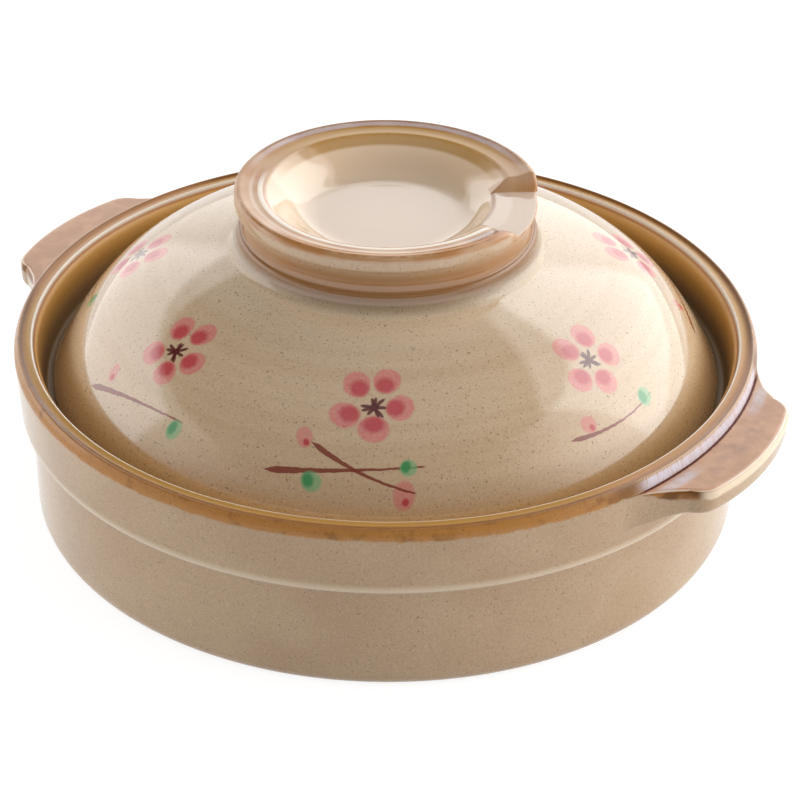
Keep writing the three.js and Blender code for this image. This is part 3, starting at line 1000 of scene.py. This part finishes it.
def knob_material(name, given):
    """Cream glaze in the dish, amber along the ring, and the lid's glaze below."""
    shader = new_shader(name)
    sizes = given.knob
    colours = given.glaze
    place = places(shader, sizes.radius, sizes.top)
    rise = place.height - sizes.seat / MM
    # Partly painted shade: ochre glaze on the knob's side, deepened below the bead.
    neck = place.fall.ramp(3.0, 9.0) * rise.ramp(0.6, 4.0)
    bead = place.fall.band(3.4, 1.6, 0.8) * place.inset.ramp(1.9, 0.9)
    # Painted shade: a smooth darkening in the speck colour round the collar and its crease.
    collar = rise.band(2.4, 2.6, 1.6) * place.inset.ramp(-3.6, -0.6)
    # Partly painted light: the dish's slope is lighter than its middle.
    dish = shader.mix(place.inset.ramp(29.4, 13.4), colours.dish, colours.dish_side_painted_light)
    back = place.turn.facing(BACK_TURN).ramp(0.1, 0.7)
    look = shader.layered(
        lid_glaze(shader, place, colours),
        (neck * 0.9, colours.ochre),
        (bead * 0.3, colours.ochre),
        (collar * 0.5, colours.speck),
        (place.inset.ramp(7.4, 8.4), dish),
        (place.inset.band(10.2, 1.5, 0.6) * back * 0.85, colours.golden),
        (on_ring(shader, place, sizes), ring_glaze(shader, place, colours)),
    )
    coat = 1.0 - place.inset.ramp(8.4, 7.4) * 0.32
    return glazed(shader, place, look, thrown(shader, place, 0.4, 0.3, 2.0), coat)


FOOT_ROUND = 0.5 * MM
RIM_ROUND = 2.0 * MM
CREST_ROUND = 0.8 * MM
VALLEY_ROUND = 1.0 * MM
LIP_ROUND = 0.7 * MM
GROOVE_ROUND = 0.6 * MM
BEADING_ROUND = 0.8 * MM
LEDGE_ROUND = 1.5 * MM


def pot_section(sizes):
    """Section of the pot, from the middle of its underside round to the middle of its floor."""
    rim = sizes.rim_radius
    crest = sizes.height
    step = crest - sizes.band_height
    band_foot = rim - sizes.band_taper
    wall = band_foot - sizes.step_depth
    inside = wall - sizes.wall_thickness
    foot = wall - sizes.foot_width
    floor = sizes.foot_recess + sizes.floor_thickness
    ledge = sizes.seat_radius - sizes.ledge_width
    under = sizes.seat_height - sizes.ledge_thickness
    return rounded(
        [
            (0.0, sizes.foot_recess),
            (foot, sizes.foot_recess, FOOT_ROUND),
            (foot + sizes.foot_recess, 0.0, FOOT_ROUND),
            (wall, 0.0, sizes.base_round),
            (wall, step, sizes.step_round),
            (band_foot, step + sizes.step_rise, sizes.step_round),
            (rim, crest - sizes.rim_fall, RIM_ROUND),
            (rim - sizes.crest_inset, crest, CREST_ROUND),
            (rim - sizes.valley_inset, crest - sizes.valley_fall, VALLEY_ROUND),
            (rim - sizes.lip_inset, crest - sizes.lip_fall, LIP_ROUND),
            (rim - sizes.groove_inset, crest - sizes.groove_fall, GROOVE_ROUND),
            (rim - sizes.beading_inset, crest - sizes.beading_fall, BEADING_ROUND),
            (sizes.seat_radius, sizes.seat_height, LEDGE_ROUND),
            (ledge, sizes.seat_height, LEDGE_ROUND),
            (ledge, under, LEDGE_ROUND),
            (inside, under - sizes.ledge_backing, LEDGE_ROUND),
            (inside, floor, sizes.floor_round),
            (0.0, floor),
        ]
    )


class SOUP_OT_pot(bpy.types.Operator):
    """Builds the pot's body with its rim, ledge and foot"""

    bl_idname = "soup_pot.pot"
    bl_label = "Pot body"

    def execute(self, context):
        given = settings()
        piece = revolved("pot_body_shape", divided(pot_section(given.pot)))
        clay = pot_material("pot_clay", given, lug=False)
        carried(piece, "pot", "pot_body", [clay])
        return {"FINISHED"}


FLANK_STEPS = 50
CORNER_STEPS = 24
EDGE_STEPS = 30
WAIST_SHARE = 0.42
WAIST_OUT = 0.3 * MM
SHOULDER_SHARE = 0.1


def lug_outline(sizes, rim):
    """Turn and reach of a lug's outline, from one root to the other."""

    def at(radius, turn):
        return (radius * math.cos(turn), radius * math.sin(turn))

    def edge(turn):
        return rim + sizes.reach - sizes.crown * (turn / sizes.spread) ** 2

    corner = edge(sizes.spread)
    waist = at(rim + WAIST_OUT, lerp(sizes.root_spread, sizes.spread, WAIST_SHARE))
    shoulder = at(corner - sizes.corner, lerp(sizes.spread, sizes.root_spread, SHOULDER_SHARE))
    last = sizes.spread - sizes.corner / corner
    half = [at(rim, sizes.root_spread)]
    half += curve(FLANK_STEPS, half[-1], waist, shoulder)
    half += curve(CORNER_STEPS, half[-1], at(corner, sizes.spread), at(edge(last), last))
    for step in range(1, EDGE_STEPS + 1):
        turn = lerp(last, 0.0, step / EDGE_STEPS)
        half.append(at(edge(turn), turn))
    outline = half + [(across, -along) for across, along in reversed(half[:-1])]
    return [(math.atan2(along, across), math.hypot(across, along) - rim) for across, along in outline]


LUG_SUNK = 1.8 * MM
LUG_RUN_IN = 0.9 * MM
LUG_RISE = 0.5 * MM
LUG_CLEARANCE = 0.05 * MM
ROOT_LIP = 1.0 * MM
LEAST_EDGE = 0.02 * MM
FULL_SHARE = 0.7
EDGE_SHARE = 0.45
GROOVE_SHARE = 0.4
ROUND_STEPS = 8
GROOVE_STEPS = 6
TOP_STEPS = 8
FACE_STEPS = 6
SHELF_STEPS = 4
ROOT_STEPS = 12


def lug_section(sizes, pot, reach):
    """Closed section through a lug where it stands out by reach, in radius and height."""
    band_top = pot.height - pot.rim_fall
    band_drop = pot.band_taper / (pot.band_height - pot.rim_fall - pot.step_rise)

    def off_band(height, out=0.0):
        return (pot.rim_radius - (band_top - height) * band_drop + out, height)

    share = smooth(reach / (FULL_SHARE * sizes.reach))
    top = sizes.top
    root = top - sizes.root
    low = lerp(root + ROOT_LIP, top - sizes.thickness, share)
    edge = max(LEAST_EDGE, min(sizes.edge_round, EDGE_SHARE * reach))
    out = reach - LUG_CLEARANCE
    shelf = max(0.0, min(sizes.shelf, out - edge) * share)
    sunk = pot.rim_radius - LUG_SUNK
    start = (off_band(top)[0] - LUG_RUN_IN, top + LUG_RISE * share)
    groove = off_band(top, min(sizes.groove, GROOVE_SHARE * reach))
    brow = off_band(top, out - edge)
    face = off_band(top - edge, out)
    chin = off_band(low + edge, out)
    sole = off_band(low, out - edge)
    heel = (sole[0] - shelf, low + sizes.undercut * share)
    path = [(sunk, start[1]), start]
    path += curve(GROOVE_STEPS, start, off_band(top), groove)
    path += curve(TOP_STEPS, groove, brow)
    path += curve(ROUND_STEPS, brow, off_band(top, out), face)
    path += curve(FACE_STEPS, face, chin)
    path += curve(ROUND_STEPS, chin, off_band(low, out), sole)
    path += curve(SHELF_STEPS, sole, heel)
    path += curve(ROOT_STEPS, heel, (off_band(low)[0], heel[1]), off_band(root))
    path.append((sunk, root))
    return path


def lug_rows(sizes, pot):
    """Points of the lug on the +X side."""
    return [
        turned(lug_section(sizes, pot, max(0.0, reach)), turn)
        for turn, reach in lug_outline(sizes, pot.rim_radius)
    ]


class SOUP_OT_lugs(bpy.types.Operator):
    """Builds the two lug handles on the band"""

    bl_idname = "soup_pot.lugs"
    bl_label = "Lug handles"

    def execute(self, context):
        given = settings()
        glaze = pot_material("lug_glaze", given, lug=True)
        rows = lug_rows(given.lug, given.pot)
        for name, side in (("lug_handle_right", 1), ("lug_handle_left", -1)):
            placed = [[(side * x, side * y, z) for x, y, z in row] for row in rows]
            piece = grid_object(f"{name}_shape", placed, closed_rows=False, closed_columns=True)
            carried(piece, "pot", name, [glaze])
        return {"FINISHED"}


DOME_STEPS = 72
HOLLOW_STEPS = 60
HOLE_STEPS = 48
HOLLOW_FOOT = 1.0 * MM
CUTTER_RISE = 4 * MM
FACES_UP = 0.1


def along_slope(point, slope, distance):
    """The point at a distance up a slope towards the axis."""
    return (point[0] - distance * math.cos(slope), point[1] + distance * math.sin(slope))


def dome_curve(sizes, knob):
    """The dome's outer face from its edge up to the knob's foot."""
    edge = (sizes.radius, sizes.foot + sizes.edge_height)
    top = (knob.foot_radius, sizes.top)
    first = along_slope(edge, sizes.edge_slope, sizes.edge_pull)
    last = along_slope(top, sizes.top_slope, -sizes.top_pull)
    return [edge, *curve(DOME_STEPS, edge, first, last, top)]


def lid_section(sizes, knob):
    """Section of the dome, from the middle of its hollow round to the middle of its top."""
    inside = sizes.radius - sizes.edge_width
    ceiling = sizes.top - sizes.thickness
    middle = (0.0, ceiling)
    rim = (inside, sizes.foot + HOLLOW_FOOT)
    pull = along_slope(rim, sizes.edge_slope, sizes.edge_pull)
    hollow = curve(HOLLOW_STEPS, middle, (sizes.ceiling, ceiling), pull, rim)
    outer = dome_curve(sizes, knob)
    foot = rounded(
        [
            rim,
            (inside, sizes.foot, sizes.edge_round),
            (sizes.radius, sizes.foot, sizes.edge_round),
            outer[0],
        ]
    )
    return [middle, *hollow, *foot[1:], *outer[1:], (0.0, sizes.top)]


def hole_cutter(sizes, knob):
    """A cutter for the steam hole, wider outside the dome's faces and tilted with its slope."""
    outer = dome_curve(sizes, knob)
    near = min(range(len(outer)), key=lambda index: abs(outer[index][0] - sizes.hole_distance))
    surface = outer[near][1]
    before, after = outer[near - 1], outer[near + 1]
    slope = (after[1] - before[1]) / (after[0] - before[0])
    wide = sizes.hole_radius + CUTTER_RISE + sizes.hole_bevel
    upper = surface + CUTTER_RISE
    lower = surface - sizes.thickness - CUTTER_RISE
    levels = (
        (0.0, upper),
        (wide, upper),
        (sizes.hole_radius, surface - sizes.hole_bevel),
        (sizes.hole_radius, surface - sizes.thickness + sizes.hole_bevel),
        (wide, lower),
        (0.0, lower),
    )
    rows = []
    for step in range(HOLE_STEPS):
        section = turned(levels, math.tau * step / HOLE_STEPS)
        rows.append([(x, sizes.hole_distance + y, z + y * slope) for x, y, z in section])
    return grid_object("steam_hole_cutter", rows, closed_rows=True, closed_columns=False)


def cut(piece, cutter):
    """Cuts one object out of another and removes the cutter."""
    modifier = piece.modifiers.new("cut", "BOOLEAN")
    modifier.operation = "DIFFERENCE"
    modifier.object = cutter
    modifier.solver = "EXACT"
    shown = bpy.context.evaluated_depsgraph_get()
    mesh = bpy.data.meshes.new_from_object(piece.evaluated_get(shown))
    piece.modifiers.remove(modifier)
    old = piece.data
    piece.data = mesh
    mesh.name = old.name
    bpy.data.meshes.remove(old)
    bpy.data.objects.remove(cutter)


def spread_sprays(piece, sizes):
    """Gives each part of the dome's outer face the material of the nearest spray."""
    edge = sizes.foot + sizes.edge_height
    for face in piece.data.polygons:
        middle = face.center
        if face.normal.z <= FACES_UP or middle.z <= edge:
            continue
        turn = math.degrees(math.atan2(middle.y, middle.x))
        gaps = [abs((turn - spray.turn + 180) % 360 - 180) for spray in SPRAYS]
        face.material_index = 1 + gaps.index(min(gaps))


class SOUP_OT_lid(bpy.types.Operator):
    """Builds the lid's dome with its steam hole and painted sprays"""

    bl_idname = "soup_pot.lid"
    bl_label = "Lid"

    def execute(self, context):
        given = settings()
        piece = revolved("lid_dome_shape", divided(lid_section(given.lid, given.knob)))
        cut(piece, hole_cutter(given.lid, given.knob))
        piece.data.shade_smooth()
        materials = [lid_material("lid_glaze", given)]
        for number, spray in enumerate(SPRAYS, 1):
            materials.append(lid_material(f"lid_spray_{number}", given, spray))
        carried(piece, "lid", "lid_dome", materials)
        spread_sprays(piece, given.lid)
        return {"FINISHED"}


FINE_TURN = math.radians(0.4)
COARSE_TURN = math.radians(1.5)
NOTCH_MARGIN = math.radians(2)
SLOW_FALL = 2.2
STEEP_RISE = 1.6
LEVEL = 1e-9
NECK_STEPS = 24
BEAD_STEPS = 5
FILLET_STEPS = 14
COLLAR_STEPS = 10
SIDE_STEPS = 40
RING_STEPS = 16
BRINK_STEPS = 8
DISH_STEPS = 48
DISH_SIDE = 0.5 * MM
KNOB_SUNK = 2 * MM
FILLET_SUNK = 0.05 * MM
UNDERSIDE_INSET = 1.0 * MM


def knob_turns(sizes):
    """Turns of the knob's sections, closer together across the notch."""
    start = sizes.notch_start - NOTCH_MARGIN
    end = sizes.notch_end + NOTCH_MARGIN
    inner = math.ceil((end - start) / FINE_TURN)
    outer = math.ceil((math.tau - (end - start)) / COARSE_TURN)
    across = [lerp(start, end, step / inner) for step in range(inner)]
    around = [lerp(end, start + math.tau, step / outer) for step in range(outer)]
    return across + around


def notch_drop(sizes, turn):
    """How far the ring's top lies below its full height at a turn, from 0 to 1."""
    if turn < sizes.floor_start:
        share = (turn - sizes.notch_start) / (sizes.floor_start - sizes.notch_start)
        return max(0.0, share) ** SLOW_FALL
    if turn > sizes.floor_end:
        share = (sizes.notch_end - turn) / (sizes.notch_end - sizes.floor_end)
        return max(0.0, share) ** STEEP_RISE
    return 1.0


def level_radius(path, height):
    """Radius of a rising path at a height."""
    for start, end in zip(path, path[1:]):
        if start[1] <= height <= end[1]:
            share = (height - start[1]) / max(LEVEL, end[1] - start[1])
            return lerp(start[0], end[0], share)
    return path[-1][0]


def knob_crease(sizes):
    """The crease above the knob's collar."""
    return (sizes.radius - sizes.collar_inset, sizes.seat + sizes.collar_height)


def knob_side(sizes):
    """The knob's outer side from its crease up to the bead's edge, left square."""
    crease = knob_crease(sizes)
    bead = sizes.top - sizes.bead_height
    under = (sizes.radius - sizes.bead_lip, bead)
    neck = sizes.radius - sizes.neck_inset
    side = [crease, *curve(NECK_STEPS, crease, (neck, crease[1]), (neck, bead), under)]
    side += curve(BEAD_STEPS, under, (sizes.radius, bead), (sizes.radius, bead + sizes.bead_lip))
    side.append((sizes.radius, sizes.top))
    return side


def knob_collar(sizes, lid):
    """The knob's underside, the fillet that runs out over the dome, and the collar up to its crease."""
    spread = sizes.foot_spread
    meet = (sizes.foot_radius + spread, lid.top - spread * math.tan(lid.top_slope) - FILLET_SUNK)
    collar = (sizes.radius - sizes.collar_draw, sizes.seat + sizes.foot_height)
    crease = knob_crease(sizes)
    under = lid.top - KNOB_SUNK
    path = [(0.0, under), (meet[0] - UNDERSIDE_INSET, under), meet]
    path += curve(FILLET_STEPS, meet, (collar[0], lid.top), collar)
    path += curve(COLLAR_STEPS, collar, (collar[0], crease[1]), crease)
    return path


def dish_curve(sizes):
    """The dish from its middle over its level floor and its two slopes up to its edge."""
    edge = (sizes.radius - sizes.ring_width, sizes.top - sizes.ring_fall)
    floor = sizes.seat + sizes.dish_floor
    shoulder_drop = sizes.shoulder_width * math.tan(sizes.shoulder_slope)
    shoulder = (edge[0] - sizes.shoulder_width, edge[1] - shoulder_drop)
    level = shoulder[0] - (shoulder[1] - floor) / math.tan(sizes.dish_slope)
    corners = [
        (0.0, floor),
        (level, floor, sizes.dish_round),
        (*shoulder, sizes.shoulder_round),
        edge,
    ]
    return divided(rounded(corners), DISH_SIDE)


def knob_section(sizes, lid, drop):
    """Section of the knob where its ring lies lower by a share of the notch's depth."""
    side = knob_side(sizes)
    dish = dish_curve(sizes)
    top = sizes.top - drop * sizes.notch_depth
    floor = sizes.top - sizes.notch_depth + sizes.notch_tilt
    inner_top = lerp(sizes.top - sizes.ring_fall, floor, drop)
    path = knob_collar(sizes, lid)
    for step in range(1, SIDE_STEPS + 1):
        height = lerp(side[0][1], top - sizes.outer_round, step / SIDE_STEPS)
        path.append((level_radius(side, height), height))
    outer = level_radius(side, top)
    start = (outer - sizes.outer_round, top)
    path += curve(BRINK_STEPS, path[-1], (outer, top), start)
    edge = (level_radius(dish, inner_top), inner_top)
    brow = towards(edge, start, sizes.brink_round)
    for step, (radius, height) in enumerate(curve(RING_STEPS, start, brow), 1):
        hollow = sizes.ring_hollow * math.sin(math.pi * step / RING_STEPS) * (1 - drop)
        path.append((radius, height - hollow))
    last = min(range(len(dish)), key=lambda index: abs(dish[index][0] - edge[0] + sizes.brink_round))
    path += curve(BRINK_STEPS, brow, edge, dish[last])
    for step in range(1, DISH_STEPS + 1):
        place = last * (1 - step / DISH_STEPS)
        low = min(int(place), len(dish) - 2)
        path.append(blend(dish[low], dish[low + 1], place - low))
    return path


class SOUP_OT_knob(bpy.types.Operator):
    """Builds the ring knob with its dish and drain notch"""

    bl_idname = "soup_pot.knob"
    bl_label = "Knob"

    def execute(self, context):
        given = settings()
        sizes = given.knob
        rows = [
            turned(knob_section(sizes, given.lid, notch_drop(sizes, turn)), turn)
            for turn in knob_turns(sizes)
        ]
        piece = grid_object("lid_knob_shape", rows, closed_rows=True, closed_columns=False)
        carried(piece, "lid", "lid_knob", [knob_material("knob_glaze", given)])
        return {"FINISHED"}


# Turns and rises are in degrees from the camera's side and the floor, the rest in metres and watts.
Lamp = namedtuple("Lamp", "name turn rise distance width height power mirrored")
# A glow is turned in degrees from the wall behind the pot, and ends at the sine of its top's angle.
Glow = namedtuple("Glow", "turn strength top")

TARGET = Vector((3.66, 2.25, 25.8)) * MM
SENSOR_WIDTH = 36
CLIP_START = 0.01
LAMPS = (
    Lamp("left_softbox", -122, 12, 1.0, 1.4, 0.9, 3.5, True),
    Lamp("right_softbox", 122, 34, 1.0, 1.15, 1.05, 3.4, True),
    Lamp("front_fill", -10, 64, 1.6, 2.4, 2.0, 7.3, False),
    Lamp("left_card", -76, 8, 0.9, 0.9, 0.6, 4.5, False),
    Lamp("left_strip", -76, 8, 0.9, 0.9, 0.6, 0.9, True),
    Lamp("right_card", 70, 8, 0.9, 0.9, 0.6, 6.2, False),
    Lamp("right_strip", 70, 8, 0.9, 0.9, 0.6, 1.4, True),
)
WHITE = (1.0, 1.0, 1.0)
FLOOR_LIT = (0.8, 0.8, 0.8)
FLOOR_SHOWN = (0.3, 0.3, 0.3)
FLOOR_GLOW = 0.84
AMBIENT = 0.08
ZENITH = 0.2
WALL_GLOWS = (Glow(-50, 1.95, 0.75), Glow(50, 0.75, 0.58))
GLOW_EDGE = 0.02
ZENITH_START = 0.75
BACKGROUND = 1.1
CLOTH = (0.5, 0.45, 0.04)


def outwards(azimuth, elevation):
    """The direction from the pot to something at an azimuth and elevation."""
    level = math.cos(elevation)
    return Vector((math.sin(azimuth) * level, -math.cos(azimuth) * level, math.sin(elevation)))


def aimed(name, data, place, roll=0.0):
    """A camera or lamp at a place, aimed at the target and turned about its own axis."""
    made = linked(bpy.data.objects.new(name, data))
    facing = (TARGET - place).to_track_quat("-Z", "Y").to_matrix().to_4x4()
    made.matrix_world = Matrix.Translation(place) @ facing @ Matrix.Rotation(roll, 4, "Z")
    return made


def camera_aimed(sizes):
    """The camera that sees the pot as the photograph does."""
    camera = bpy.data.cameras.new("camera")
    camera.lens = sizes.lens
    camera.sensor_width = SENSOR_WIDTH
    camera.clip_start = CLIP_START
    place = TARGET + outwards(sizes.azimuth, sizes.elevation) * sizes.distance
    return aimed("camera", camera, place, sizes.roll)


def feathered(light):
    """Lets a lamp's light fade towards the edges of its cloth."""
    shader = Shader(light)
    cloth = shader.node("ShaderNodeNewGeometry", {}, {}, output="Parametric")
    across, along, _ = shader.parts(cloth)
    share = across.band(*CLOTH) * along.band(*CLOTH)
    glow = shader.node("ShaderNodeEmission", {}, {"Color": WHITE, "Strength": share})
    shader.node("ShaderNodeOutputLight", {}, {"Surface": glow})


def lamp_aimed(lamp, azimuth):
    """A lamp with a rectangle of cloth, placed by its turn from the camera."""
    light = bpy.data.lights.new(lamp.name, "AREA")
    light.shape = "RECTANGLE"
    light.size = lamp.width
    light.size_y = lamp.height
    light.energy = lamp.power
    feathered(light)
    away = outwards(azimuth + math.radians(lamp.turn), math.radians(lamp.rise))
    placed = aimed(lamp.name, light, TARGET + away * lamp.distance)
    placed.visible_glossy = lamp.mirrored


def white_seen(shader):
    """1 for rays that show the background: from the camera, by reflection or through glass."""
    seen = [
        shader.node("ShaderNodeLightPath", {}, {}, output=kind)
        for kind in ("Is Camera Ray", "Is Glossy Ray", "Is Transmission Ray")
    ]
    return seen[0].most(seen[1]).most(seen[2])


def floor_material():
    """A pale floor that shows white, with the pot's shadow on it."""
    shader = new_shader("floor_white")
    plain = shader.node("ShaderNodeBsdfDiffuse", {}, {"Color": FLOOR_LIT})
    shaded = shader.node("ShaderNodeBsdfDiffuse", {}, {"Color": FLOOR_SHOWN})
    glow = shader.node("ShaderNodeEmission", {}, {"Color": WHITE, "Strength": FLOOR_GLOW})
    white = shader.node("ShaderNodeAddShader", {}, {0: shaded, 1: glow})
    both = shader.node("ShaderNodeMixShader", {}, {0: white_seen(shader), 1: plain, 2: white})
    shader.node("ShaderNodeOutputMaterial", {}, {"Surface": both})
    return shader.owner


def floor_laid(size):
    """A square floor that the pot stands on."""
    half = size / 2
    corners = [(-half, -half, 0.0), (half, -half, 0.0), (half, half, 0.0), (-half, half, 0.0)]
    mesh = bpy.data.meshes.new("floor")
    mesh.from_pydata(corners, [], [(0, 1, 2, 3)])
    mesh.materials.append(floor_material())
    return linked(bpy.data.objects.new("floor", mesh))


def studio_world(azimuth):
    """A studio that is white to the camera, and lights the pot from both sides behind it."""
    world = bpy.data.worlds.new("studio")
    shader = Shader(world)
    shown = shader.node("ShaderNodeLightPath", {}, {}, output="Is Camera Ray")
    outward = shader.node("ShaderNodeTexCoord", {}, {}, output="Generated")
    rise = shader.parts(outward)[2]
    strength = AMBIENT + rise.ramp(ZENITH_START, 1.0) * ZENITH
    for glow in WALL_GLOWS:
        middle = outwards(azimuth + math.radians(180 + glow.turn), 0.0)
        facing = shader.vector("DOT_PRODUCT", outward, middle, output="Value").ramp(0.0, 1.0)
        low = rise.ramp(glow.top + GLOW_EDGE, glow.top - GLOW_EDGE)
        strength = strength + facing * low * glow.strength
    strength = strength.most(shown * BACKGROUND)
    light = shader.node("ShaderNodeBackground", {}, {"Color": WHITE, "Strength": strength})
    shader.node("ShaderNodeOutputWorld", {}, {"Surface": light})
    return world


class SOUP_OT_stage(bpy.types.Operator):
    """Sets up the camera, the lamps and the floor"""

    bl_idname = "soup_pot.stage"
    bl_label = "Stage"

    def execute(self, context):
        sizes = settings().stage
        context.scene.camera = camera_aimed(sizes)
        for lamp in LAMPS:
            lamp_aimed(lamp, sizes.azimuth)
        floor = floor_laid(sizes.floor_size)
        context.scene.world = studio_world(sizes.azimuth)
        context.scene.view_settings.view_transform = "Standard"
        return {"FINISHED"}


class SOUP_PT_panel(bpy.types.Panel):
    """Lists the pieces of the soup pot"""

    bl_label = "Soup pot"
    bl_idname = "SOUP_PT_panel"
    bl_space_type = "VIEW_3D"
    bl_region_type = "UI"
    bl_category = "Soup pot"

    def draw(self, context):
        for operator in OPERATORS:
            self.layout.operator(operator.bl_idname)
        given = context.scene.soup_pot
        for group_name in given.__annotations__:
            group = getattr(given, group_name)
            box = self.layout.box()
            for name in group.__annotations__:
                box.prop(group, name)


GROUPS = (
    PotSizes,
    LugSizes,
    LidSizes,
    KnobSizes,
    GlazeColours,
    PaintColours,
    StageSizes,
    SoupPotSettings,
)
OPERATORS = (SOUP_OT_pot, SOUP_OT_lugs, SOUP_OT_lid, SOUP_OT_knob, SOUP_OT_stage)
CLASSES = (*GROUPS, *OPERATORS, SOUP_PT_panel)


def register():
    for added in CLASSES:
        bpy.utils.register_class(added)
    bpy.types.Scene.soup_pot = PointerProperty(type=SoupPotSettings)


def unregister():
    del bpy.types.Scene.soup_pot
    for added in reversed(CLASSES):
        bpy.utils.unregister_class(added)


def main():
    register()
    bpy.ops.soup_pot.pot()
    bpy.ops.soup_pot.lugs()
    bpy.ops.soup_pot.lid()
    bpy.ops.soup_pot.knob()
    bpy.ops.soup_pot.stage()


if __name__ == "__main__":
    main()
